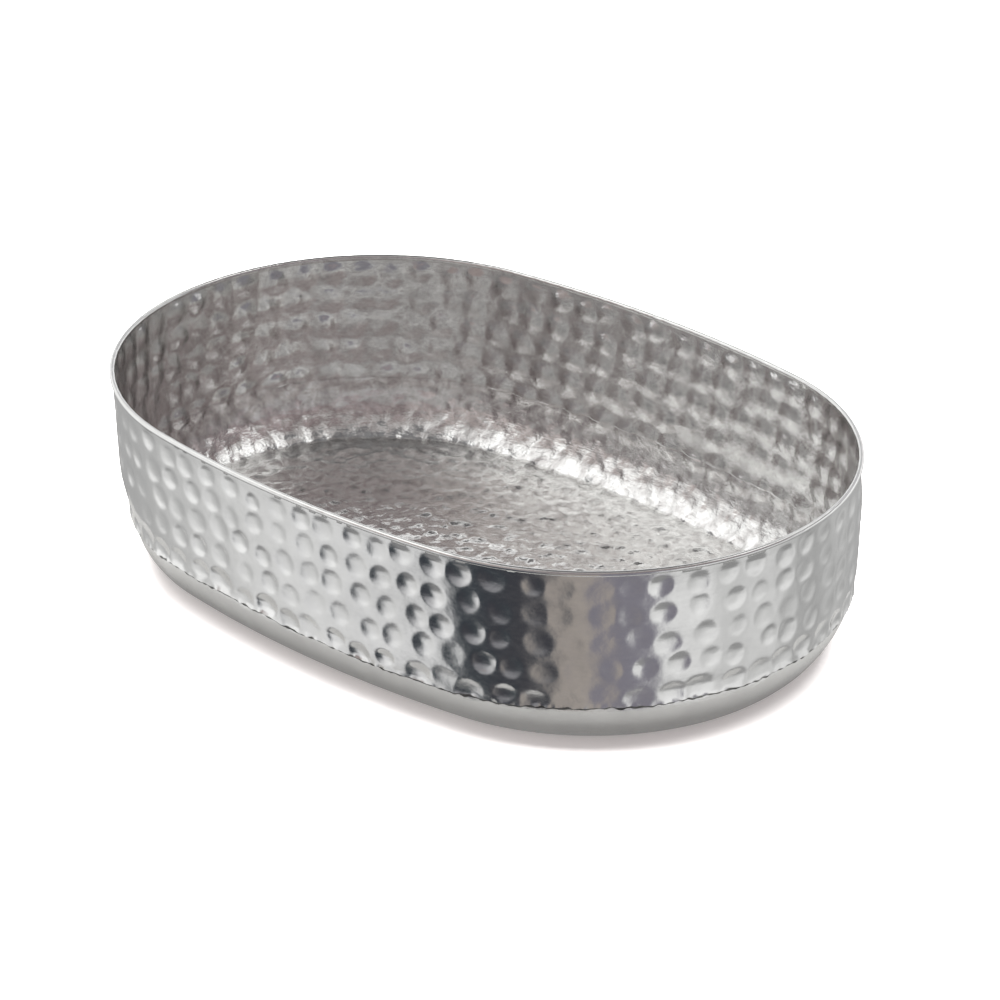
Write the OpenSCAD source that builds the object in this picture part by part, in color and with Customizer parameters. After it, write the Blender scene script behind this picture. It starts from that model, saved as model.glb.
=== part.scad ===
// Deep oval tray with a hammered side wall, a smooth pressed base pan and a wired rim.
// All sizes are in millimetres. The tray stands on Z = 0, centred on the Z axis,
// with its length along X.
//
// Four pieces, as a coppersmith would make them:
//   side_wall   - a hammered band of sheet whose top edge is rolled around the rim wire
//   rim_wire    - the wire inside the rolled edge
//   base_pan    - the floor, with a rounded edge and a thinned flange that laps up inside the wall
//   seam_solder - the fillet of solder under the wall's foot, all the way round

/* [Tray] */
// Overall length, over the rolled rim
tray_l = 350; // [320:6:380]
// Overall width, over the rolled rim
tray_w = 236; // [218:6:248]
// Overall height, from the table to the top of the rim
tray_h = 84; // [76:1:95]

/* [Sheet and wire] */
// Thickness of the sheet metal
sheet_t = 0.8; // [0.6:0.1:1.2]
// Diameter of the wire inside the rolled rim
wire_d = 1.0; // [1.0:0.2:2.0]

/* [Side wall] */
// How far the wall leans in between the rim and the bend above its foot
wall_lean = 2.5; // [1:0.5:4]
// Height of the wall's foot above the table
foot_z = 21; // [18:0.5:22]

/* [Base pan] */
// Outer radius of the pan's rounded side
side_r = 32; // [32:0.5:38]
// Outer radius of the tighter bend where the side meets the flat floor
toe_r = 4.5; // [3:0.5:6]
// How far the flange laps up inside the wall
lap_h = 4; // [3:0.5:6]
// Thickness that the flange is hammered down to at its top edge
scarf_t = 0.2; // [0.2:0.1:0.5]

/* [Hidden] */

// Smoothness of the swept curves, and steps along each arc of the pan's profile
$fn = 360;
profile_steps = 8;

// The rim line: the oval that the middle of the rim wire follows
bead_r = wire_d / 2 + sheet_t;
half_l = tray_l / 2 - bead_r;
half_w = tray_w / 2 - bead_r;
rim_z = tray_h - bead_r;

// The oval is four arcs: two ends centred on the X axis and two flatter sides
// centred on the Y axis. The line through an end's centre and a side's centre is the
// long side of a 13-84-85 right triangle, so the arcs meet tangent and exactly.
triangle = [13, 84, 85];
unit = (half_l - half_w) / (triangle[0] - triangle[2] + triangle[1]);
end_x = unit * triangle[0];
end_r = half_l - end_x;
long_y = unit * triangle[1];
long_r = end_r + unit * triangle[2];

// Whole multiples of the triangle that reach past the ends and past the sides
end_reach = 2;
long_reach = 8;
cut_margin = 1;

// The wall's middle surface leans in along a straight line from the rim to the top of
// the flange. From there down, the wall and the flange bend inwards together.
bend_z = foot_z + lap_h;
lean_angle = atan(wall_lean / (rim_z - bend_z));
function wall_x(z) = -(rim_z - z) * tan(lean_angle);
function wall_outside_x(z) = wall_x(z) + sheet_t / 2;
function wall_inside_x(z) = wall_x(z) - sheet_t / 2;

// The solder fillet's leg matches the edge of the sheet that it covers
solder_leg = sheet_t;

// The rounded side is tangent to the leaning wall at the bend, and the toe arc is
// tangent to both the side and the table
side_centre = [
    wall_inside_x(bend_z) - side_r * cos(lean_angle),
    bend_z + side_r * sin(lean_angle)
];
foot_angle = asin((side_centre[1] - foot_z) / (side_r + sheet_t));
seam_angle = foot_angle + asin(solder_leg / side_r);
toe_angle = asin((side_centre[1] - toe_r) / (side_r - toe_r));
toe_centre = side_centre + (side_r - toe_r) * [cos(toe_angle), -sin(toe_angle)];

// The swept part of the floor reaches this far in, and a plain plate fills what is left
floor_ring_x = -0.6 * half_w;
plate_overlap = 1;

// A point of a profile at a radius and an angle around a centre
function polar(centre, r, angle) = centre + r * [cos(angle), sin(angle)];

// Points along an arc of a profile, from one angle to another, with the radius
// changing evenly from one value to another
function arc_points(centre, r, from, to, end_r = undef) = [
    for (i = [0 : profile_steps])
        let (
            share = i / profile_steps,
            radius = r + ((is_undef(end_r) ? r : end_r) - r) * share
        )
            polar(centre, radius, from + (to - from) * share)
];

// A ring of the profile at a radius, cut down to a wedge that starts at the ring's axis
module ring_wedge(radius, wedge) {
    intersection() {
        rotate_extrude()
            translate([radius, 0])
                children();
        translate([0, 0, -cut_margin])
            linear_extrude(height = tray_h + 2 * cut_margin)
                polygon(wedge);
    }
}

// Sweeps a profile around the oval. In the profile, X is the distance outside the
// rim line and Y is the height above the table.
module sweep_oval() {
    end_corner = end_reach * [triangle[0], triangle[1]];
    long_corner = long_reach * [triangle[0], triangle[1]];
    for (way = [-1, 1]) {
        translate([way * end_x, 0])
            ring_wedge(end_r, [
                [0, 0],
                [way * end_corner[0], -end_corner[1]],
                [way * end_corner[1], -end_corner[1]],
                [way * end_corner[1], end_corner[1]],
                [way * end_corner[0], end_corner[1]]
            ])
                children();
        translate([0, -way * long_y])
            ring_wedge(long_r, [
                [0, 0],
                [long_corner[0], way * long_corner[1]],
                [-long_corner[0], way * long_corner[1]]
            ])
                children();
    }
}

// A leaning strip of sheet, bent in at its foot, with its top edge closed around the wire
module side_wall() {
    wall_top_z = rim_z - wire_d / 2 - sheet_t / 2;
    color("silver")
        sweep_oval()
            difference() {
                union() {
                    polygon(concat(
                        arc_points(side_centre, side_r, -lean_angle, -foot_angle),
                        arc_points(side_centre, side_r + sheet_t, -foot_angle, -lean_angle),
                        [
                            [wall_outside_x(wall_top_z), wall_top_z],
                            [wall_inside_x(wall_top_z), wall_top_z]
                        ]
                    ));
                    translate([0, rim_z])
                        circle(r = bead_r);
                }
                translate([0, rim_z])
                    circle(d = wire_d);
            }
}

// The wire that stiffens the rim
module rim_wire() {
    color("darkgray")
        sweep_oval()
            translate([0, rim_z])
                circle(d = wire_d);
}

// The pan's outer surface, from the top of the flange down to the edge of the flat floor
function pan_outside() = concat(
    arc_points(side_centre, side_r, -lean_angle, -foot_angle),
    arc_points(side_centre, side_r, -seam_angle, -toe_angle),
    arc_points(toe_centre, toe_r, -toe_angle, -90)
);

// The pan's inner surface, from the flat floor back up to the thinned top edge
function pan_inside() = concat(
    arc_points(toe_centre, toe_r - sheet_t, -90, -toe_angle),
    arc_points(side_centre, side_r - sheet_t, -toe_angle, -foot_angle),
    arc_points(side_centre, side_r - sheet_t, -foot_angle, -lean_angle, side_r - scarf_t)
);

// The floor and its rounded edge, with the flange that laps inside the wall
module base_pan() {
    plate_l = 2 * (half_l + floor_ring_x + plate_overlap);
    plate_w = 2 * (half_w + floor_ring_x + plate_overlap);
    color("gainsboro") {
        sweep_oval()
            polygon(concat(
                pan_outside(),
                [[floor_ring_x, 0], [floor_ring_x, sheet_t]],
                pan_inside()
            ));
        translate([-plate_l / 2, -plate_w / 2, 0])
            cube([plate_l, plate_w, sheet_t]);
    }
}

// A small fillet in the corner between the wall's foot and the pan
module seam_solder() {
    color("lightgray")
        sweep_oval()
            polygon([
                polar(side_centre, side_r, -foot_angle),
                polar(side_centre, side_r + sheet_t, -foot_angle),
                polar(side_centre, side_r, -seam_angle)
            ]);
}

side_wall();
rim_wire();
base_pan();
seam_solder();
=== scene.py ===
import math
from collections import namedtuple

import bpy
import numpy as np
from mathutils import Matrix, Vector
from mathutils.geometry import delaunay_2d_cdt


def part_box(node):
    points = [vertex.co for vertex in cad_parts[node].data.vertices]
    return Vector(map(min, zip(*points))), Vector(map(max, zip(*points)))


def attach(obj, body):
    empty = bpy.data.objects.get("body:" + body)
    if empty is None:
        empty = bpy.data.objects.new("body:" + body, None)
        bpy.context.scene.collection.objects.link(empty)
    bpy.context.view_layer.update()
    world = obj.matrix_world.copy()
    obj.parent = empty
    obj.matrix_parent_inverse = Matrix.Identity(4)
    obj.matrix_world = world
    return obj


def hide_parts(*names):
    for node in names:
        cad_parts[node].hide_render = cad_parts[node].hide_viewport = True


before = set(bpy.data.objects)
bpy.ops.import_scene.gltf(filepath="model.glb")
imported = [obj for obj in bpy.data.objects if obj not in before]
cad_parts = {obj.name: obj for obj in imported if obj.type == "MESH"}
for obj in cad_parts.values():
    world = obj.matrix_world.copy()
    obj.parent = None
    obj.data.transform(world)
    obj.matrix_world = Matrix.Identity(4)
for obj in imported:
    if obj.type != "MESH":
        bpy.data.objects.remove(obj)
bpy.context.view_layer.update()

# A deep oval tray: a hammered side wall with a wired rim, over a pressed pan. The CAD
# model gives the sizes, and this script adds the hammering, the metal and the studio.

# ---------------------------------------------------------------- sizes, in metres

MM = 0.001

WIRE_LOW, WIRE_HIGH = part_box("rim_wire")
WALL_LOW, WALL_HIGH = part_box("side_wall")
_, PAN_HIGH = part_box("base_pan")

# The rim line is the oval that the middle of the rim wire follows
WIRE_R = (WIRE_HIGH.z - WIRE_LOW.z) / 2
RIM_Z = (WIRE_HIGH.z + WIRE_LOW.z) / 2
HALF_L = WIRE_HIGH.x - WIRE_R
HALF_W = WIRE_HIGH.y - WIRE_R
BEAD_R = WALL_HIGH.x - HALF_L
SHEET_T = BEAD_R - WIRE_R
FOOT_Z = WALL_LOW.z
SOLDER_LEG = SHEET_T

# The wall leans in from the rim line to the bend, where the pan's flange ends
BEND_Z = PAN_HIGH.z
BEND_INSIDE_X = PAN_HIGH.x - HALF_L
LEAN_SLOPE = -(BEND_INSIDE_X + SHEET_T / 2) / (RIM_Z - BEND_Z)
LEAN = math.atan(LEAN_SLOPE)

# The CAD model's radii for the pan's rounded side and the toe under it
SIDE_R = 32 * MM
TOE_R = 4.5 * MM
SIDE_X = BEND_INSIDE_X - SIDE_R * math.cos(LEAN)
SIDE_Z = BEND_Z + SIDE_R * math.sin(LEAN)
FOOT_ANGLE = math.asin((SIDE_Z - FOOT_Z) / (SIDE_R + SHEET_T))
TOE_ANGLE = math.asin((SIDE_Z - TOE_R) / (SIDE_R - TOE_R))
TOE_X = SIDE_X + (SIDE_R - TOE_R) * math.cos(TOE_ANGLE)

# The four arcs of the oval come from the CAD model's 13-84-85 triangle
SHORT_LEG, LONG_LEG, SLOPE_SIDE = 13, 84, 85
UNIT = (HALF_L - HALF_W) / (SHORT_LEG - SLOPE_SIDE + LONG_LEG)
END_X = UNIT * SHORT_LEG
END_R = HALF_L - END_X
LONG_Y = UNIT * LONG_LEG
LONG_R = END_R + UNIT * SLOPE_SIDE
JOIN_ANGLE = math.atan2(LONG_LEG, SHORT_LEG)

# Centre, radius, first and last angle of each arc, anticlockwise from the right end
ARCS = [
    (END_X, 0, END_R, -JOIN_ANGLE, JOIN_ANGLE),
    (0, -LONG_Y, LONG_R, JOIN_ANGLE, math.pi - JOIN_ANGLE),
    (-END_X, 0, END_R, math.pi - JOIN_ANGLE, math.pi + JOIN_ANGLE),
    (0, LONG_Y, LONG_R, math.pi + JOIN_ANGLE, 2 * math.pi - JOIN_ANGLE),
]
ARC_LENGTHS = [radius * (last - first) for _, _, radius, first, last in ARCS]
RIM_LENGTH = sum(ARC_LENGTHS)

# ---------------------------------------------------------------- the oval


class Columns:
    """Evenly spaced stations around the rim line, with the arc that each one lies on."""

    def __init__(self, count):
        self.count = count
        self.along = np.arange(count) * RIM_LENGTH / count
        self.x, self.y = np.zeros(count), np.zeros(count)
        self.radius, self.angle = np.zeros(count), np.zeros(count)
        start = 0.0
        for (x, y, radius, first, _), length in zip(ARCS, ARC_LENGTHS):
            here = (self.along >= start) & (self.along < start + length)
            self.x[here], self.y[here], self.radius[here] = x, y, radius
            self.angle[here] = first + (self.along[here] - start) / radius
            start += length

    def points(self, offset, z):
        """Points at an offset outside the rim line and a height, for arrays of rows by columns."""
        reach = self.radius + offset
        x = self.x + reach * np.cos(self.angle)
        y = self.y + reach * np.sin(self.angle)
        return np.stack(np.broadcast_arrays(x, y, z), axis=-1)


def rim_offset(x, y):
    """How far a point on the floor plan lies outside the rim line."""
    x, y = np.abs(x), np.abs(y)
    by_end = (x - END_X) * LONG_LEG > y * SHORT_LEG
    from_end = np.hypot(x - END_X, y) - END_R
    from_side = np.hypot(x, y + LONG_Y) - LONG_R
    return np.where(by_end, from_end, from_side)


def smooth_step(value, start, end):
    """0 at the start, rising smoothly to 1 at the end, which may lie below the start."""
    share = np.clip((value - start) / (end - start), 0, 1)
    return share * share * (3 - 2 * share)


# ---------------------------------------------------------------- random surfaces


def drift(along, seed, longest, shortest, height):
    """A smooth random wave around the rim, made of whole numbers of cycles."""
    rng = np.random.default_rng(seed)
    cycles = np.arange(max(1, round(RIM_LENGTH / longest)), round(RIM_LENGTH / shortest) + 1)
    phases = rng.uniform(0, 2 * math.pi, len(cycles))
    sizes = rng.uniform(0.4, 1.0, len(cycles))
    waves = np.cos(np.multiply.outer(along, cycles) * 2 * math.pi / RIM_LENGTH + phases)
    return height * (waves * sizes).sum(axis=-1) / np.sqrt((sizes**2).sum() / 2) / 2


def ripple(u, v, seed, wavelength, height, waves=24):
    """A smooth random surface over a flat patch, as a sum of plane waves.

    It repeats along u after one trip around the rim."""
    rng = np.random.default_rng(seed)
    whole_turn = 2 * math.pi / RIM_LENGTH
    total = np.zeros(np.broadcast(u, v).shape)
    for _ in range(waves):
        turn, phase = rng.uniform(0, 2 * math.pi, 2)
        rate = 2 * math.pi / (wavelength * rng.uniform(0.7, 1.6))
        rate_u = round(rate * math.cos(turn) / whole_turn) * whole_turn
        total += np.cos(rate_u * u + rate * math.sin(turn) * v + phase)
    return height * total / math.sqrt(waves)


# A round hammer mark: its place on the sheet, its size, and how much longer than wide it
# is, in the direction of its turn
Mark = namedtuple("Mark", "u v radius depth stretch turn")


def struck(u, v, marks, softness, period=None, power=1):
    """Depth of overlapping hammer marks at each point, with rims rounded by softness.

    A power above 1 gives the marks flatter middles and steeper edges."""
    deepest = np.full(np.broadcast(u, v).shape, -1.0)
    for mark in marks:
        across = u - mark.u
        if period:
            across = (across + period / 2) % period - period / 2
        up = v - mark.v
        cosine, sine = math.cos(mark.turn), math.sin(mark.turn)
        long_way = (across * cosine + up * sine) / (mark.radius * mark.stretch)
        short_way = (up * cosine - across * sine) * mark.stretch / mark.radius
        cap = mark.depth * (1 - (long_way**2 + short_way**2) ** power)
        deepest = np.maximum(deepest, cap)
    return (deepest + np.sqrt(deepest**2 + softness**2)) / 2


# ---------------------------------------------------------------- profiles


def side_x(z, lift):
    """Offset of a face that lies lift outside the wall's inner face: leaning, then rounded."""
    radius = SIDE_R + lift
    on_arc = SIDE_X + np.sqrt(np.maximum(radius**2 - (z - SIDE_Z) ** 2, 0))
    on_wall = BEND_INSIDE_X + (z - BEND_Z) * LEAN_SLOPE + lift
    return np.where(z > BEND_Z, on_wall, on_arc)


# The hand-cut foot of the wall isn't level: it dips and rises around the tray. Each wave
# has a number of cycles, a height and a phase.
FOOT_WAVES = [(2, -0.9 * MM, 0.5), (3, 0.8 * MM, 2.4), (5, 0.5 * MM, 4.1)]


def foot_height(along):
    """Height of the wall's foot, without its nicks."""
    height = FOOT_Z + drift(along, seed=11, longest=90 * MM, shortest=25 * MM, height=0.4 * MM)
    for cycles, size, phase in FOOT_WAVES:
        height = height + size * np.cos(2 * math.pi * cycles * along / RIM_LENGTH + phase)
    return height


def ragged_foot(along):
    """The foot's own edge, with its small nicks."""
    nicks = drift(along, seed=12, longest=20 * MM, shortest=4 * MM, height=0.25 * MM)
    return foot_height(along) + nicks


# Five staggered rows of marks from a ball hammer, struck from outside
MARK_ROWS = [75.6 * MM, 63.2 * MM, 50.8 * MM, 38.4 * MM, 26.0 * MM]
MARKS_PER_ROW = 69
MARK_RADIUS, RADIUS_SPREAD = 5.4 * MM, 0.4 * MM
MARK_DEPTH, DEPTH_SPREAD = 0.68 * MM, 0.13 * MM
ALONG_SPREAD, UP_SPREAD = 1.3 * MM, 0.9 * MM

# The lowest row is wider and deeper, and its marks lie nearly level
LOW_ROW_STRETCH, LOW_ROW_TURN_SPREAD, LOW_ROW_DEEPER = 1.15, 0.15, 1.1

# The blows are gentler around one corner: its place, its reach, and the share they lose
GENTLE_PLACE, GENTLE_REACH, GENTLE_LOSS = 63 * MM, 24 * MM, 0.62

# On the inside, the same blows show as slightly wider and taller bumps
BUMP_WIDER, BUMP_TALLER = 1.05, 1.6


def firmness(along):
    """1 around most of the wall, and less where it was struck more gently."""
    return 1 - GENTLE_LOSS * np.exp(-(((along - GENTLE_PLACE) / GENTLE_REACH) ** 2))


def wall_marks():
    """The marks outside the wall. The rows follow the foot more closely the lower they are."""
    rng = np.random.default_rng(5)
    marks = []
    step = RIM_LENGTH / MARKS_PER_ROW
    for row, height in enumerate(MARK_ROWS):
        lowered = (MARK_ROWS[0] - height) / (MARK_ROWS[0] - MARK_ROWS[-1])
        shift = rng.uniform(0, step) + row * step / 2
        for i in range(MARKS_PER_ROW):
            along = (shift + i * step + rng.normal(0, ALONG_SPREAD)) % RIM_LENGTH
            sag = lowered * (foot_height(np.array([along]))[0] - FOOT_Z)
            up = height + sag + rng.normal(0, UP_SPREAD)
            radius = rng.normal(MARK_RADIUS, RADIUS_SPREAD)
            depth = rng.normal(MARK_DEPTH, DEPTH_SPREAD) * firmness(along)
            stretch = rng.uniform(0.92, 1.08)
            turn = rng.uniform(0, math.pi)
            if height == MARK_ROWS[-1]:
                stretch = LOW_ROW_STRETCH
                turn = rng.normal(0, LOW_ROW_TURN_SPREAD)
                depth = LOW_ROW_DEEPER * depth
            marks.append(Mark(along, up, radius, depth, stretch, turn))
    return marks


WALL_MARKS = wall_marks()
INNER_BUMPS = [
    mark._replace(radius=BUMP_WIDER * mark.radius, depth=BUMP_TALLER * mark.depth) for mark in WALL_MARKS
]


def draw_in(along, above_foot):
    """How far the wall draws in above its foot, by an uneven amount."""
    unevenness = drift(along, seed=25, longest=80 * MM, shortest=24 * MM, height=0.4)
    size = 0.25 * MM * (1 + unevenness).clip(0.3, 1.7)
    return size * firmness(along) * smooth_step(above_foot, 12 * MM, 3.5 * MM)


def lip(above_foot):
    """1 on the wall, falling to 0 at the foot, where the wall turns out again."""
    return smooth_step(above_foot, 0, 1.5 * MM)


def foot_lip(along, above_foot):
    """The crumpled edge of the wall's foot, which turns outwards by an uneven amount."""
    size = 0.05 * MM + drift(along, seed=23, longest=22 * MM, shortest=3.5 * MM, height=0.24 * MM)
    return size * smooth_step(above_foot, 1.6 * MM, 0)


# The hand-raised body isn't quite even: it bulges near one end and is drawn in low down
# near the other. Each sway has a place along the rim, a reach, a size that is positive
# inwards, and the heights between which it sets in from above and from below.
Sway = namedtuple("Sway", "place reach size from_above from_below")
SWAY_PLACE = END_R * (math.radians(42) + JOIN_ANGLE)
SWAYS = [
    Sway(
        place=SWAY_PLACE,
        reach=46 * MM,
        size=-1.9 * MM,
        from_above=(82 * MM, 58 * MM),
        from_below=(4 * MM, 30 * MM),
    ),
    Sway(
        place=RIM_LENGTH / 2 + SWAY_PLACE,
        reach=50 * MM,
        size=2.6 * MM,
        from_above=(42 * MM, 24 * MM),
        from_below=(0, 12 * MM),
    ),
]


def sway(along, z):
    """How far the whole sheet lies inside its plain shape at the uneven places."""
    total = 0
    for part in SWAYS:
        near = np.exp(-(((along - part.place) / part.reach) ** 2))
        heights = smooth_step(z, *part.from_above) * smooth_step(z, *part.from_below)
        total = total + part.size * near * heights
    return total


# The slow waves are set in this far, to stay inside the wall's plain shape
WAVE_INSET = 0.12 * MM


def slow_waves(along, z):
    """The gentle unevenness of the whole sheet."""
    around = drift(along, seed=21, longest=60 * MM, shortest=18 * MM, height=0.05 * MM)
    return WAVE_INSET + around + ripple(along, z, seed=22, wavelength=9 * MM, height=0.012 * MM)


def outer_shift(along, z):
    """How far the hammered outer face lies inside the plain leaning wall."""
    above_foot = z - foot_height(along)
    dents = struck(along, z, WALL_MARKS, softness=0.09 * MM, period=RIM_LENGTH)
    drawn = draw_in(along, above_foot) * lip(above_foot)
    return dents + drawn - foot_lip(along, above_foot) + slow_waves(along, z) + sway(along, z)


def inner_shift(along, z, turned_out=True):
    """The same for the inner face without its sway, where the marks show as softer bumps.

    The pan's flange covers the place where the wall turns out again."""
    bumps = struck(along, z, INNER_BUMPS, softness=0.22 * MM, period=RIM_LENGTH)
    crinkle = ripple(along, z, seed=24, wavelength=6 * MM, height=0.06 * MM)
    above_foot = z - foot_height(along)
    drawn = draw_in(along, above_foot) * (lip(above_foot) if turned_out else 1)
    return bumps + drawn + slow_waves(along, z) + crinkle


# ---------------------------------------------------------------- mesh building


def grid_faces(first, rows, count, inward=False):
    """Quads between rings of count points each, numbered from first."""
    row, column = np.meshgrid(np.arange(rows - 1), np.arange(count), indexing="ij")
    after = (column + 1) % count
    a = first + row * count + column
    b = first + row * count + after
    c = first + (row + 1) * count + after
    d = first + (row + 1) * count + column
    order = (a, d, c, b) if inward else (a, b, c, d)
    return np.stack(order, axis=-1).reshape(-1, 4).tolist()


def closing_faces(last, first, count, inward=False):
    """Quads that join the last ring of a tube back to its first ring."""
    faces = []
    for i in range(count):
        j = (i + 1) % count
        if inward:
            faces.append((last + i, first + i, first + j, last + j))
        else:
            faces.append((last + i, last + j, first + j, first + i))
    return faces


def halving_faces(fine_first, coarse_first, coarse_count, flip=False):
    """Triangles between a ring and a ring of half as many points."""
    faces = []
    for i in range(coarse_count):
        j = (i + 1) % coarse_count
        a, middle, b = fine_first + 2 * i, fine_first + 2 * i + 1, fine_first + 2 * j
        c, d = coarse_first + i, coarse_first + j
        faces += [(a, middle, c), (middle, d, c), (middle, b, d)]
    return [face[::-1] for face in faces] if flip else faces


def lattice_inside(limit, spacing):
    """Triangular lattice points on the floor plan that lie further in than limit."""
    row_step = spacing * math.sqrt(3) / 2
    rows = math.ceil(HALF_W / row_step)
    across = math.ceil(HALF_L / spacing)
    points = []
    for j in range(-rows, rows + 1):
        x = (np.arange(-across, across + 1) + 0.5 * (j % 2)) * spacing
        y = np.full_like(x, j * row_step)
        points.append(np.stack([x, y], axis=-1))
    points = np.concatenate(points)
    return points[rim_offset(points[:, 0], points[:, 1]) < limit]


# What the triangulation is asked for: only what lies inside the loop, with points this
# close taken as one
INSIDE_ONLY = 1
MERGE_DISTANCE = 1e-9


def fill_loop(loop_xy, spacing, limit, first, loop_first, flip=False):
    """Fills a ring of points with a triangular lattice. Returns the new points and the faces."""
    inner = lattice_inside(limit, spacing)
    plan = [Vector(p) for p in np.concatenate([loop_xy, inner])]
    count = len(loop_xy)
    edges = [(i, (i + 1) % count) for i in range(count)]
    _, _, faces, origins, _, _ = delaunay_2d_cdt(plan, edges, [], INSIDE_ONLY, MERGE_DISTANCE)
    number = [loop_first + o[0] if o[0] < count else first + o[0] - count for o in origins]
    faces = [tuple(number[i] for i in face) for face in faces]
    return inner, [face[::-1] for face in faces] if flip else faces


# Edges sharper than this aren't shaded smooth
CREASE_ANGLE = math.radians(50)


def make_piece(name, points, faces, replaced):
    """A smooth-shaded piece that stands for a CAD node."""
    mesh = bpy.data.meshes.new(name)
    mesh.from_pydata(points, [], faces)
    mesh.validate()
    mesh.shade_smooth()
    mesh.set_sharp_from_angle(angle=CREASE_ANGLE)
    piece = bpy.data.objects.new(name, mesh)
    bpy.context.scene.collection.objects.link(piece)
    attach(piece, "root")
    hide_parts(replaced)
    return piece


# ---------------------------------------------------------------- hammered wall

FINE_COLUMNS = 1080
BEAD_STEPS = 10
OUTER_ROWS = 60
INNER_ROWS = 38
CHANNEL_COLUMNS = 240
CHANNEL_STEPS = 12

# Both faces of the wall run into the bead around the wire this far below the rim line,
# and the marks fade out over a short way under it
BEAD_DROP = math.sqrt(BEAD_R**2 - (SHEET_T / 2) ** 2)
WALL_TOP_Z = RIM_Z - BEAD_DROP
BEAD_FADE = 3.5 * MM

# The bead's radius varies by about this much, and is never more than the plain one
BEAD_WAVE = 0.04 * MM


def below_bead(z):
    """1 on the wall, falling to 0 where it runs into the bead."""
    return smooth_step(z, WALL_TOP_Z, WALL_TOP_Z - BEAD_FADE)


def outer_face(columns):
    """Rows up the outer face, from the foot to the bead."""
    share = np.linspace(0, 1, OUTER_ROWS)[:, None]
    foot = ragged_foot(columns.along)[None, :]
    z = foot + share * (WALL_TOP_Z - foot)
    offset = side_x(z, SHEET_T) - outer_shift(columns.along[None, :], z) * below_bead(z)
    return columns.points(offset, z)


def rolled_bead(columns):
    """Rows over the bead, from the outer face over the top to the inner face."""
    start = math.atan2(-BEAD_DROP, SHEET_T / 2)
    turn = np.linspace(start, math.pi - start, BEAD_STEPS + 2)[1:-1, None]
    wave = drift(columns.along, seed=31, longest=40 * MM, shortest=6 * MM, height=BEAD_WAVE)
    radius = BEAD_R - BEAD_WAVE + wave.clip(max=BEAD_WAVE)
    return columns.points(radius * np.cos(turn), RIM_Z + radius * np.sin(turn))


def inner_face(columns):
    """Rows down the inner face, from the bead to the foot."""
    foot = ragged_foot(columns.along)[None, :]
    share = np.linspace(0, 1, INNER_ROWS)[:, None]
    z = WALL_TOP_Z + share * (foot - WALL_TOP_Z)
    along = columns.along[None, :]
    offset = side_x(z, 0) - inner_shift(along, z) * below_bead(z) - sway(along, z)
    return columns.points(offset, z)


def wire_channel(columns):
    """Rows around the channel in the bead that the rim wire fills."""
    turn = np.arange(CHANNEL_STEPS)[:, None] * 2 * math.pi / CHANNEL_STEPS
    return columns.points(WIRE_R * np.cos(turn), RIM_Z + WIRE_R * np.sin(turn))


def hammered_wall():
    """The sheet of the wall, closed around the wire. The inner face has half the columns."""
    fine, coarse = Columns(FINE_COLUMNS), Columns(FINE_COLUMNS // 2)
    parts = (outer_face(fine), rolled_bead(fine), inner_face(coarse), wire_channel(Columns(CHANNEL_COLUMNS)))
    points = np.concatenate([part.reshape(-1, 3) for part in parts])

    fine_rows = OUTER_ROWS + BEAD_STEPS
    inner_first = fine_rows * fine.count
    foot_first = inner_first + (INNER_ROWS - 1) * coarse.count
    channel_first = inner_first + INNER_ROWS * coarse.count
    channel_last = channel_first + (CHANNEL_STEPS - 1) * CHANNEL_COLUMNS
    faces = grid_faces(0, fine_rows, fine.count)
    faces += halving_faces(inner_first - fine.count, inner_first, coarse.count)
    faces += grid_faces(inner_first, INNER_ROWS, coarse.count)
    faces += halving_faces(0, foot_first, coarse.count, flip=True)
    faces += grid_faces(channel_first, CHANNEL_STEPS, CHANNEL_COLUMNS, inward=True)
    faces += closing_faces(channel_last, channel_first, CHANNEL_COLUMNS, inward=True)
    return make_piece("hammered_wall", points, faces, "side_wall")


# ---------------------------------------------------------------- pressed pan

PAN_COLUMNS = 840
FEATHER_T = 0.3 * MM
FLOOR_RING = 8 * MM
FLOOR_SPACING = 1.2 * MM
UNDER_SPACING = 3 * MM

# Steps down the flange, the rounded side, the toe and the outer ring of the floor
INSIDE_STEPS = (6, 20, 6, 6)
OUTSIDE_STEPS = (4, 14, 7, 4)

# The hammering leaves ridges that stand this much above the plain floor
RIDGE_HEIGHT = 0.75 * MM

# The pan's outer face lies this far inside its plain shape, to leave room for its waves
PAN_INSET = 0.08 * MM

# The middle of the underside is raised a little, to stand on its edge
UNDER_LIFT = 0.06 * MM


def arc(centre_x, centre_z, radius, first, last, steps):
    """Points of a profile along an arc. The radius may be a number for each point."""
    turn = np.linspace(first, last, steps)
    return np.stack([centre_x + radius * np.cos(turn), centre_z + radius * np.sin(turn)], axis=-1)


def pan_profile(thickness, steps):
    """Offset and height down the pan's side, from the flange's top edge to the flat floor."""
    edge_t = FEATHER_T if thickness else 0
    flange_r = np.linspace(SIDE_R - edge_t, SIDE_R - thickness, steps[0])
    parts = [
        arc(SIDE_X, SIDE_Z, flange_r, -LEAN, -FOOT_ANGLE, steps[0]),
        arc(SIDE_X, SIDE_Z, SIDE_R - thickness, -FOOT_ANGLE, -TOE_ANGLE, steps[1])[1:],
        arc(TOE_X, TOE_R, TOE_R - thickness, -TOE_ANGLE, -math.pi / 2, steps[2])[1:],
        np.linspace((TOE_X, thickness), (TOE_X - FLOOR_RING, thickness), steps[3])[1:],
    ]
    return np.concatenate(parts)


# Rows of lighter marks around the inside of the rounded side, by their distance down from
# the top edge of the flange. Each row has fewer marks than the one above.
COVE_ROWS = [5 * MM, 13 * MM, 21 * MM, 29 * MM]
TOP_COVE_MARKS, COVE_MARKS_FEWER = 74, 3

# Spacing of the marks on the floor
FLOOR_PITCH = 8.5 * MM


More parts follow.
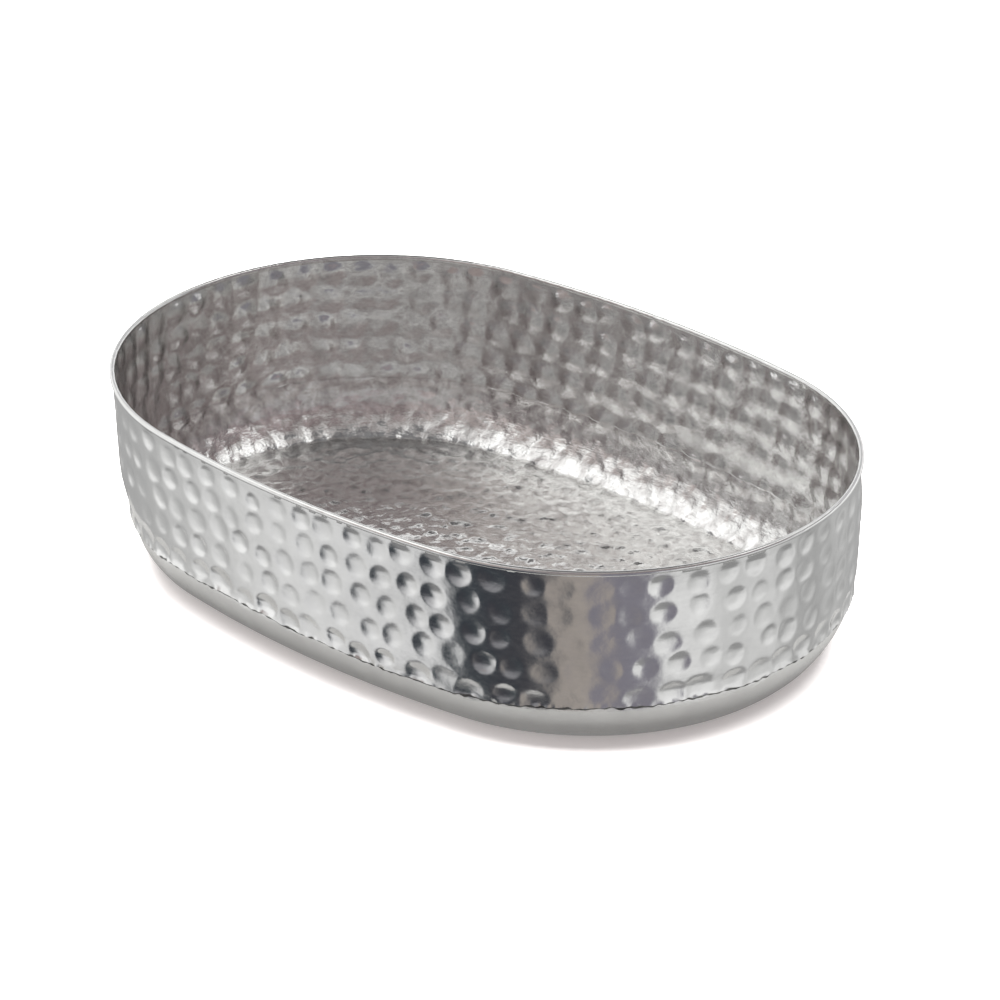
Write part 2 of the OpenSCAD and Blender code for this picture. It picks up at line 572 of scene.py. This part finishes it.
def random_shape(rng):
    """The stretch and turn of a mark that isn't quite round."""
    return rng.uniform(0.85, 1.15), rng.uniform(0, math.pi)


def cove_marks():
    """The marks around the inside of the pan's rounded side."""
    rng = np.random.default_rng(8)
    marks = []
    for row, down in enumerate(COVE_ROWS):
        count = TOP_COVE_MARKS - COVE_MARKS_FEWER * row
        step = RIM_LENGTH / count
        shift = rng.uniform(0, step)
        for i in range(count):
            along = (shift + i * step + rng.normal(0, 1.8 * MM)) % RIM_LENGTH
            radius = rng.uniform(4.2 * MM, 5.8 * MM)
            depth = rng.uniform(0.4 * MM, 0.65 * MM)
            place = down + rng.normal(0, 1.3 * MM)
            marks.append(Mark(along, place, radius, depth, *random_shape(rng)))
    return marks


def floor_marks():
    """Overlapping marks all over the floor, deeper near its edge."""
    rng = np.random.default_rng(9)
    marks = []
    for x, y in lattice_inside(TOE_X - 2 * MM, FLOOR_PITCH):
        radius = rng.uniform(4.4 * MM, 6.2 * MM)
        near_side = smooth_step(rim_offset(x, y), TOE_X - 40 * MM, TOE_X - 12 * MM)
        depth = rng.uniform(0.6 * MM, 0.85 * MM) * (1 + 0.5 * near_side)
        place_x = x + rng.normal(0, 1.9 * MM)
        place_y = y + rng.normal(0, 1.9 * MM)
        marks.append(Mark(place_x, place_y, radius, depth, *random_shape(rng)))
    return marks


def floor_depth(x, y, marks):
    """Depth of the floor's marks below its ridges."""
    return struck(x, y, marks, softness=0.06 * MM, power=1.25)


def pan_inside(columns, marks):
    """Rows down the inner face. Struck marks push it outwards, along the profile's normal."""
    profile = pan_profile(SHEET_T, INSIDE_STEPS)
    slopes = np.gradient(profile, axis=0)
    slopes /= np.linalg.norm(slopes, axis=1)[:, None]
    push_x, push_z = -slopes[:, 1][:, None], slopes[:, 0][:, None]
    lengths = np.linalg.norm(np.diff(profile, axis=0), axis=1)
    down = np.concatenate([[0], lengths.cumsum()])[:, None]
    x, z = profile[:, 0][:, None], profile[:, 1][:, None]
    along = columns.along[None, :]
    plain = columns.points(x, z)

    below_lap = smooth_step(z, BEND_Z, FOOT_Z - 1 * MM)
    cove = struck(along, down, cove_marks(), softness=0.04 * MM, period=RIM_LENGTH, power=1.4) * below_lap
    flat = smooth_step(z, 4 * MM, 1.2 * MM)
    floor = floor_depth(plain[..., 0], plain[..., 1], marks) * flat
    depth = np.maximum(cove, floor - RIDGE_HEIGHT * flat)
    lapped = smooth_step(z, FOOT_Z - 9 * MM, FOOT_Z + 2 * MM)
    crinkle = ripple(along, down, seed=42, wavelength=4.5 * MM, height=0.03 * MM) * (1 - lapped)
    depth = depth + crinkle * smooth_step(z, 0, SHEET_T)
    shift = inner_shift(along, z, turned_out=False) * lapped + sway(along, z)
    return columns.points(x + push_x * depth - shift, z + push_z * depth)


def pan_outside(columns):
    """Rows down the outer face, which is smooth below the wall's foot."""
    profile = pan_profile(0, OUTSIDE_STEPS)
    x, z = profile[:, 0][:, None], profile[:, 1][:, None]
    along = columns.along[None, :]
    lapped = smooth_step(z, FOOT_Z - 4 * MM, FOOT_Z)
    around = drift(along, seed=41, longest=80 * MM, shortest=12 * MM, height=0.08 * MM)
    waves = around + ripple(along, z, seed=43, wavelength=14 * MM, height=0.03 * MM)
    waves = waves * smooth_step(z, 0, 4 * MM)
    shift = inner_shift(along, z) * lapped + sway(along, z) + PAN_INSET
    return columns.points(x - shift + waves, z)


def pressed_pan():
    """The floor and its rounded side. The outer face has half the columns."""
    inside_columns, outside_columns = Columns(PAN_COLUMNS), Columns(PAN_COLUMNS // 2)
    marks = floor_marks()
    inside = pan_inside(inside_columns, marks)
    outside = pan_outside(outside_columns)
    points = [inside.reshape(-1, 3), outside.reshape(-1, 3)]
    outside_first = len(points[0])
    faces = grid_faces(0, len(inside), PAN_COLUMNS)
    faces += grid_faces(outside_first, len(outside), outside_columns.count, inward=True)
    faces += halving_faces(0, outside_first, outside_columns.count, flip=True)
    ring_edge = TOE_X - FLOOR_RING

    # The hammered floor
    total = outside_first + len(points[1])
    ring_first = outside_first - PAN_COLUMNS
    limit = ring_edge - 0.6 * FLOOR_SPACING
    plan, filled = fill_loop(inside[-1, :, :2], FLOOR_SPACING, limit, total, ring_first)
    x, y = plan[:, 0], plan[:, 1]
    fine = ripple(x, y, seed=51, wavelength=4.5 * MM, height=0.13 * MM, waves=40)
    z = SHEET_T + RIDGE_HEIGHT - floor_depth(x, y, marks) + fine
    points.append(np.stack([x, y, z], axis=-1))
    faces += filled

    # The plain underside
    total += len(plan)
    ring_first = outside_first + (len(outside) - 1) * outside_columns.count
    limit = ring_edge - 0.6 * UNDER_SPACING
    plan, filled = fill_loop(outside[-1, :, :2], UNDER_SPACING, limit, total, ring_first, flip=True)
    x, y = plan[:, 0], plan[:, 1]
    inset = smooth_step(rim_offset(x, y), ring_edge, ring_edge - 20 * MM)
    waves = ripple(x, y, seed=52, wavelength=25 * MM, height=0.05 * MM)
    z = inset * (UNDER_LIFT + waves.clip(min=-UNDER_LIFT))
    points.append(np.stack([x, y, z], axis=-1))
    faces += filled
    return make_piece("pressed_pan", np.concatenate(points), faces, "base_pan")


# ---------------------------------------------------------------- solder seam

SEAM_COLUMNS = 1600
SEAM_STEPS = 7

# How far the solder reaches up into the wall's foot, out from the pan, and into the pan
SEAM_LIFT = 0.15 * MM
SEAM_REACH = 0.75 * SHEET_T
SEAM_ROOT = 0.3 * MM


def seam_bead():
    """An uneven run of solder in the corner under the wall's foot."""
    columns = Columns(SEAM_COLUMNS)
    along = columns.along
    foot = ragged_foot(along)
    size = 1.4 + drift(along, seed=61, longest=60 * MM, shortest=4 * MM, height=0.5)
    leg = SOLDER_LEG * size.clip(0.8, 2.3)
    swell = drift(along, seed=62, longest=24 * MM, shortest=3 * MM, height=0.2 * MM).clip(min=-0.1 * MM)
    top = foot + SEAM_LIFT
    bottom = foot - leg
    rows = []
    for share in np.linspace(0, 1, SEAM_STEPS):
        z = top + share * (bottom - top)
        reach = SEAM_REACH * (1 - share) ** 2.2
        round_out = (0.04 * MM + swell) * math.sin(math.pi * share)
        rows.append((side_x(z, 0) + reach + round_out - sway(along, z), z))
    for z in (bottom, top):
        rows.append((side_x(z, -SEAM_ROOT) - sway(along, z), z))
    points = np.stack([columns.points(x, z) for x, z in rows])

    # The strip that closes it, hidden in the wall's foot, is wound against the others
    last = (len(rows) - 1) * SEAM_COLUMNS
    faces = grid_faces(0, len(rows), SEAM_COLUMNS, inward=True) + closing_faces(last, 0, SEAM_COLUMNS)
    return make_piece("seam_bead", points.reshape(-1, 3), faces, "seam_solder")


# ---------------------------------------------------------------- materials


class Tree:
    """A material's or world's node tree, with short calls to add and join nodes."""

    def __init__(self, owner):
        owner.use_nodes = True
        self.tree = owner.node_tree
        self.tree.nodes.clear()

    def node(self, kind, inputs=(), **settings):
        """Adds a node. An input is either a value or another node's output, to be joined."""
        made = self.tree.nodes.new(kind)
        for name, value in settings.items():
            setattr(made, name, value)
        for name, value in dict(inputs).items():
            if isinstance(value, bpy.types.NodeSocket):
                self.tree.links.new(value, made.inputs[name])
            else:
                made.inputs[name].default_value = value
        return made

    def math(self, operation, first, second=0.0):
        """The result of a sum on one or two values."""
        return self.node("ShaderNodeMath", {0: first, 1: second}, operation=operation).outputs[0]

    def span(self, value, low, high, to_low, to_high, smooth=False):
        """Maps a value from one range to another, held at both ends."""
        kind = "SMOOTHSTEP" if smooth else "LINEAR"
        inputs = {"Value": value, "From Min": low, "From Max": high, "To Min": to_low, "To Max": to_high}
        return self.node("ShaderNodeMapRange", inputs, interpolation_type=kind).outputs[0]

    def noise(self, place, scale, detail, roughness):
        """Cloudy noise, from 0 to 1."""
        inputs = {"Vector": place, "Scale": scale, "Detail": detail, "Roughness": roughness}
        return self.node("ShaderNodeTexNoise", inputs).outputs["Fac"]

    def mix(self, share, first, second):
        """Blends two colours. The node has several sockets of one name, so it is asked by identifier."""
        made = self.node("ShaderNodeMix", data_type="RGBA")
        for name, value in (("Factor_Float", share), ("A_Color", first), ("B_Color", second)):
            socket = next(s for s in made.inputs if s.identifier == name)
            if isinstance(value, bpy.types.NodeSocket):
                self.tree.links.new(value, socket)
            else:
                socket.default_value = value
        return next(s for s in made.outputs if s.identifier == "Result_Color")

    def bump(self, height, strength, depth, normal=None):
        """The surface's normal with a relief added, on top of another normal if one is given."""
        inputs = {"Height": height, "Strength": strength, "Distance": depth}
        if normal:
            inputs["Normal"] = normal
        return self.node("ShaderNodeBump", inputs).outputs["Normal"]

    def ramp(self, value, stops):
        """Blends along a list of places from 0 to 1 and their colours."""
        made = self.node("ShaderNodeValToRGB", {"Fac": value})
        elements = made.color_ramp.elements
        while len(elements) < len(stops):
            elements.new(1.0)
        for element, (place, colour) in zip(elements, stops):
            element.position = place
            element.color = colour
        return made.outputs["Color"]


# Colours of the metals
PALE = (0.90, 0.90, 0.89, 1)
SILVER = (0.82, 0.82, 0.81, 1)
GREY = (0.74, 0.74, 0.73, 1)
DULL_GREY = (0.6, 0.6, 0.6, 1)
# The two solder greys are solder's own colour, darkened further as painted shade of the crevice under the
# wall's foot
SOLDER_GREY_AND_SHADE = (0.26, 0.26, 0.25, 1)
DARK_SOLDER_AND_SHADE = (0.08, 0.08, 0.08, 1)

# Colour of the painted shade in the wrinkles inside
CREASE_SHADE_COLOUR = (0.42, 0.395, 0.39, 1)


def wrinkle(tree, place, colour, normal, depths, crease_shade):
    """Adds fine wrinkles and painted shade in their low parts, and returns the new colour and normal.

    The depths are those on faces turned outwards and inwards. The underside counts as
    turned outwards. The last argument is how much painted shade darkens the wrinkles inside."""
    facing = tree.node("ShaderNodeTexCoord").outputs["Normal"]
    outwards = tree.node("ShaderNodeVectorMath", {0: facing, 1: place}, operation="DOT_PRODUCT")
    upwards = tree.node("ShaderNodeSeparateXYZ", {"Vector": facing}).outputs["Z"]
    not_underneath = tree.span(upwards, -0.9, -0.6, 0, 1)
    turned_in = tree.span(outwards.outputs["Value"], 2 * MM, 8 * MM, 1, 0)
    inside = tree.math("MULTIPLY", turned_in, not_underneath)
    wrinkles = tree.noise(place, scale=210, detail=2, roughness=0.45)
    depth = tree.span(inside, 0, 1, depths[0], depths[1])
    normal = tree.bump(wrinkles, strength=1.0, depth=depth, normal=normal)
    # Painted shade: the low parts of the wrinkles on inward faces are darkened towards the shade colour
    shaded_creases = tree.math("MULTIPLY", tree.span(wrinkles, 0.3, 0.6, crease_shade, 0), inside)
    return tree.mix(shaded_creases, colour, CREASE_SHADE_COLOUR), normal


def metal(name, bright, dull, gloss, scratch_stretch, bump, relief_depth=0.2 * MM, wrinkles=None, crease_shade=0):
    """Aluminium with cloudy polish, fine directional scratches and a trace of pitting.

    The gloss is the least and the most roughness of the clouds. The wrinkles are the
    depths that wrinkle() takes, and the last argument is its share of painted shade in them."""
    material = bpy.data.materials.new(name)
    tree = Tree(material)
    place = tree.node("ShaderNodeTexCoord").outputs["Object"]
    stretched = tree.node("ShaderNodeMapping", {"Vector": place, "Scale": scratch_stretch}).outputs[0]
    clouds = tree.noise(place, scale=60, detail=4, roughness=0.6)
    grain = tree.noise(place, scale=900, detail=3, roughness=0.6)
    scratches = tree.noise(stretched, scale=260, detail=4, roughness=0.65)
    colour = tree.mix(tree.span(clouds, 0.35, 0.7, 0, 1), bright, dull)
    cloudy = tree.span(clouds, 0.3, 0.75, gloss[0], gloss[1])
    worn = tree.span(scratches, 0.35, 0.7, -0.03, 0.05)
    roughness = tree.math("ADD", cloudy, worn)
    relief = tree.math("ADD", tree.math("MULTIPLY", scratches, 0.7), tree.math("MULTIPLY", grain, 0.3))
    normal = tree.bump(relief, strength=bump, depth=relief_depth)
    if wrinkles:
        colour, normal = wrinkle(tree, place, colour, normal, wrinkles, crease_shade)
    shader = tree.node(
        "ShaderNodeBsdfPrincipled",
        {"Base Color": colour, "Metallic": 1.0, "Roughness": roughness, "Normal": normal},
    )
    tree.node("ShaderNodeOutputMaterial", {"Surface": shader.outputs[0]})
    return material


def assign(piece, material):
    """Gives a piece one material in place of those it has."""
    piece.data.materials.clear()
    piece.data.materials.append(material)


# ---------------------------------------------------------------- studio


def grey(level):
    """An even grey, as red, green and blue."""
    return (level, level, level)


WHITE_TABLE = grey(0.85)
DARK_GAP = (0.045, 0.055, 0.065)
BEIGE = (0.40, 0.36, 0.33)
PURPLE_GREY = (0.23, 0.22, 0.26)
WHITE_SWEEP = grey(1.12)
DIM_SWEEP = (1.0, 1.0, 0.99)
WARM_ROOM = (0.38, 0.305, 0.305)
DARK_WARM = (0.15, 0.13, 0.13)
BLUE_GREY = (0.23, 0.225, 0.25)
PALE_WARM = (0.64, 0.56, 0.54)
BACK_ROOM = (0.56, 0.555, 0.57)
DARK_ROOM = (0.09, 0.09, 0.10)
GAP_BETWEEN = (0.30, 0.29, 0.29)
CEILING = (1.4, 1.4, 1.39)
DIM_BACK = (0.10, 0.095, 0.095)
DARK_TOP = (0.20, 0.20, 0.205)
NEAR_BLACK = (0.05, 0.05, 0.06)
CHARCOAL = (0.13, 0.13, 0.14)
CEILING_SIDE = (0.85, 0.83, 0.82)

# Stripes of wall that the front of the tray mirrors, the same at three heights
FRONT_STRIPES = [(28, BEIGE), (44, BEIGE), (48, PURPLE_GREY), (68, PURPLE_GREY)]

# Colours of the studio round the tray, from straight down to straight up. Each band holds
# from its first elevation to its second, in degrees, and blends into the next one. The
# stops are azimuths in degrees, from -Y towards +X.
STUDIO_BANDS = [
    (-90, -74, [(-180, WHITE_TABLE), (180, WHITE_TABLE)]),
    (
        -64,
        -44,
        [
            (-180, grey(0.36)),
            (-150, grey(0.28)),
            (-60, grey(0.28)),
            (-40, (0.24, 0.24, 0.245)),
            (-22, DARK_GAP),
            (14, NEAR_BLACK),
            (23, CHARCOAL),
            *FRONT_STRIPES,
            (74, grey(0.30)),
            (125, grey(0.34)),
            (150, grey(0.30)),
            (180, grey(0.50)),
        ],
    ),
    (
        -37,
        -27,
        [
            (-180, grey(0.50)),
            (-150, grey(0.42)),
            (-125, grey(0.43)),
            (-98, grey(0.46)),
            (-76, grey(0.52)),
            (-62, grey(0.64)),
            (-50, grey(0.81)),
            (-28, (0.80, 0.80, 0.81)),
            (-19, DARK_GAP),
            (14, NEAR_BLACK),
            (23, CHARCOAL),
            *FRONT_STRIPES,
            (74, grey(0.9)),
            (92, grey(0.86)),
            (104, grey(0.66)),
            (125, grey(0.76)),
            (150, grey(0.42)),
            (180, grey(0.60)),
        ],
    ),
    (
        -15,
        -6,
        [
            (-180, grey(0.75)),
            (-137, grey(0.75)),
            (-98, grey(0.82)),
            (-72, grey(1.1)),
            (-45, grey(1.1)),
            (-28, (0.95, 0.95, 0.96)),
            (-10, (0.42, 0.42, 0.44)),
            (4, (0.26, 0.26, 0.28)),
            (22, (0.28, 0.28, 0.30)),
            *FRONT_STRIPES,
            (74, grey(1.0)),
            (125, grey(0.9)),
            (180, grey(0.75)),
        ],
    ),
    (
        2,
        17,
        [
            (-180, WHITE_SWEEP),
            (-45, WHITE_SWEEP),
            (-30, (0.36, 0.31, 0.30)),
            (10, (0.32, 0.27, 0.26)),
            (25, BLUE_GREY),
            (125, BLUE_GREY),
            (138, WHITE_SWEEP),
            (180, WHITE_SWEEP),
        ],
    ),
    (
        23,
        34,
        [
            (-180, BACK_ROOM),
            (-128, BACK_ROOM),
            (-112, DIM_SWEEP),
            (-45, DIM_SWEEP),
            (-30, PALE_WARM),
            (10, PALE_WARM),
            (25, WARM_ROOM),
            (130, WARM_ROOM),
            (138, DARK_ROOM),
            (164, DARK_ROOM),
            (172, BACK_ROOM),
            (180, BACK_ROOM),
        ],
    ),
    (
        38,
        44,
        [
            (-180, WHITE_SWEEP),
            (-90, WHITE_SWEEP),
            (-70, CEILING),
            (-34, CEILING),
            (-22, GAP_BETWEEN),
            (10, GAP_BETWEEN),
            (16, DARK_WARM),
            (100, DARK_WARM),
            (130, WHITE_SWEEP),
        ],
    ),
    (
        52,
        62,
        [
            (-180, DIM_BACK),
            (-110, DIM_BACK),
            (-90, CEILING),
            (-38, CEILING),
            (-22, CEILING_SIDE),
            (4, CEILING_SIDE),
            (16, (0.62, 0.59, 0.58)),
            (100, (0.56, 0.53, 0.52)),
            (130, CEILING),
            (158, CEILING),
            (170, DIM_BACK),
            (180, DIM_BACK),
        ],
    ),
    (69, 90, [(-180, DARK_TOP), (180, DARK_TOP)]),
]


def studio_world():
    """The studio as a painted surrounding, seen mostly in the tray's reflections."""
    world = bpy.data.worlds.new("studio")
    bpy.context.scene.world = world
    tree = Tree(world)
    direction = tree.node("ShaderNodeTexCoord").outputs["Generated"]
    split = tree.node("ShaderNodeSeparateXYZ", {0: direction}).outputs
    toward_front = tree.math("MULTIPLY", split["Y"], -1.0)
    azimuth = tree.math("ARCTAN2", split["X"], toward_front)
    turn = tree.span(azimuth, -math.pi, math.pi, 0, 1)
    elevation = tree.math("DEGREES", tree.math("ARCSINE", split["Z"]))
    colour = None
    reached = None
    for low, high, stops in STUDIO_BANDS:
        band = tree.ramp(turn, [((bearing + 180) / 360, (*rgb, 1)) for bearing, rgb in stops])
        if colour is None:
            colour = band
        else:
            colour = tree.mix(tree.span(elevation, reached, low, 0, 1, smooth=True), colour, band)
        reached = high
    background = tree.node("ShaderNodeBackground", {"Color": colour, "Strength": 1.0})
    tree.node("ShaderNodeOutputWorld", {"Surface": background.outputs[0]})


def stage_surface(name, points, faces, material_name, colour, glow, glow_strength):
    """A matt, faintly glowing surface that belongs to the studio and not to the tray."""
    mesh = bpy.data.meshes.new(name)
    mesh.from_pydata(points, [], faces)
    surface = bpy.data.objects.new(name, mesh)
    bpy.context.scene.collection.objects.link(surface)
    material = bpy.data.materials.new(material_name)
    tree = Tree(material)
    shader = tree.node(
        "ShaderNodeBsdfPrincipled",
        {
            "Base Color": colour,
            "Roughness": 1.0,
            "Specular IOR Level": 0.0,
            "Emission Color": glow,
            "Emission Strength": glow_strength,
        },
    )
    tree.node("ShaderNodeOutputMaterial", {"Surface": shader.outputs[0]})
    assign(surface, material)
    return surface


FLOOR_HALF = 3.0
FLOOR_DROP = 0.1 * MM
STRIP_DROP = 0.05 * MM
STRIP_COLUMNS = 240

# The strip of table lies between these offsets from the rim line
STRIP_INNER, STRIP_OUTER = TOE_X - 10 * MM, 17 * MM


def studio_floor():
    """A pale sheet that takes the tray's shadow and isn't mirrored in the metal."""
    corners = [(-1, -1), (1, -1), (1, 1), (-1, 1)]
    floor = stage_surface(
        "floor",
        [(x * FLOOR_HALF, y * FLOOR_HALF, -FLOOR_DROP) for x, y in corners],
        [(0, 1, 2, 3)],
        material_name="paper",
        colour=(0.95, 0.925, 0.915, 1),
        glow=(1.0, 0.95, 0.94, 1),
        glow_strength=0.2,
    )
    floor.visible_glossy = False


def shaded_table_near_tray():
    """The strip of table close around the tray, dark with painted shadow of the tray and faintly glowing,
    seen only where the metal mirrors it.
    """
    columns = Columns(STRIP_COLUMNS)
    rings = [columns.points(offset, -STRIP_DROP) for offset in (STRIP_INNER, STRIP_OUTER)]
    # Painted shadow: the strip is dark as the table in the tray's shadow, and its faint glow is painted
    # light
    strip = stage_surface(
        "painted_shadow_strip",
        np.concatenate(rings),
        grid_faces(0, len(rings), columns.count, inward=True),
        material_name="painted shadow strip",
        colour=(0.20, 0.20, 0.195, 1),
        glow=(1.0, 0.98, 0.97, 1),
        glow_strength=0.22,
    )
    strip.visible_camera = False
    strip.visible_diffuse = False
    strip.visible_shadow = False


LAMP_PLACE = Vector((-0.3, 0.4, 1.9))
LAMP_SIZE = 2.4
LAMP_POWER = 210


def studio_light():
    """A large soft lamp overhead, pointed at the tray and not mirrored in it."""
    light = bpy.data.lights.new("overhead", "AREA")
    light.shape = "RECTANGLE"
    light.size = LAMP_SIZE
    light.size_y = LAMP_SIZE
    light.energy = LAMP_POWER
    lamp = bpy.data.objects.new("overhead", light)
    lamp.location = LAMP_PLACE
    lamp.rotation_euler = LAMP_PLACE.to_track_quat("Z", "Y").to_euler()
    lamp.visible_glossy = False
    bpy.context.scene.collection.objects.link(lamp)


# The camera stands in this direction from its target, and this many metres away. Its lens
# and sensor are in millimetres, and it shows nothing closer than its nearest distance.
CAMERA_AZIMUTH = math.radians(42.33)
CAMERA_ELEVATION = math.radians(26.75)
CAMERA_DISTANCE = 2.1495
CAMERA_TARGET = Vector((-0.0444, 0.0612, 0.0))
CAMERA_LENS = 174.9
CAMERA_SENSOR = 36
CAMERA_NEAREST = 0.1


def studio_camera():
    """The camera at the photograph's viewing angle."""
    data = bpy.data.cameras.new("camera")
    data.lens = CAMERA_LENS
    data.sensor_width = CAMERA_SENSOR
    data.clip_start = CAMERA_NEAREST
    camera = bpy.data.objects.new("camera", data)
    level = math.cos(CAMERA_ELEVATION)
    back_x = math.sin(CAMERA_AZIMUTH) * level
    back_y = -math.cos(CAMERA_AZIMUTH) * level
    back = Vector((back_x, back_y, math.sin(CAMERA_ELEVATION)))
    camera.location = CAMERA_TARGET + back * CAMERA_DISTANCE
    camera.rotation_euler = back.to_track_quat("Z", "Y").to_euler()
    bpy.context.scene.collection.objects.link(camera)
    bpy.context.scene.camera = camera


# ---------------------------------------------------------------- the tray

studio_camera()
studio_world()
studio_floor()
shaded_table_near_tray()
studio_light()
bpy.context.scene.view_settings.view_transform = "Standard"

# The wall's and the pan's metals darken the wrinkles inside with painted shade
wall_metal = metal(
    "hammered aluminium",
    bright=SILVER,
    dull=GREY,
    gloss=(0.15, 0.23),
    scratch_stretch=(1, 1, 3),
    bump=0.15,
    wrinkles=(0.1 * MM, 0.45 * MM),
    crease_shade=0.2,
)
pan_metal = metal(
    "smooth aluminium",
    bright=PALE,
    dull=SILVER,
    gloss=(0.12, 0.22),
    scratch_stretch=(1, 1, 5),
    bump=0.4,
    relief_depth=0.6 * MM,
    wrinkles=(0, 0.6 * MM),
    crease_shade=0.6,
)
wire_metal = metal(
    "wire",
    bright=GREY,
    dull=DULL_GREY,
    gloss=(0.3, 0.4),
    scratch_stretch=(1, 1, 1),
    bump=0.2,
)
# The solder is drawn darker than solder is, as painted shade in the crevice under the wall's foot
shaded_solder_metal = metal(
    "solder",
    bright=SOLDER_GREY_AND_SHADE,
    dull=DARK_SOLDER_AND_SHADE,
    gloss=(0.35, 0.55),
    scratch_stretch=(1, 1, 1),
    bump=0.4,
)

assign(hammered_wall(), wall_metal)
assign(pressed_pan(), pan_metal)
assign(seam_bead(), shaded_solder_metal)
assign(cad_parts["rim_wire"], wire_metal)
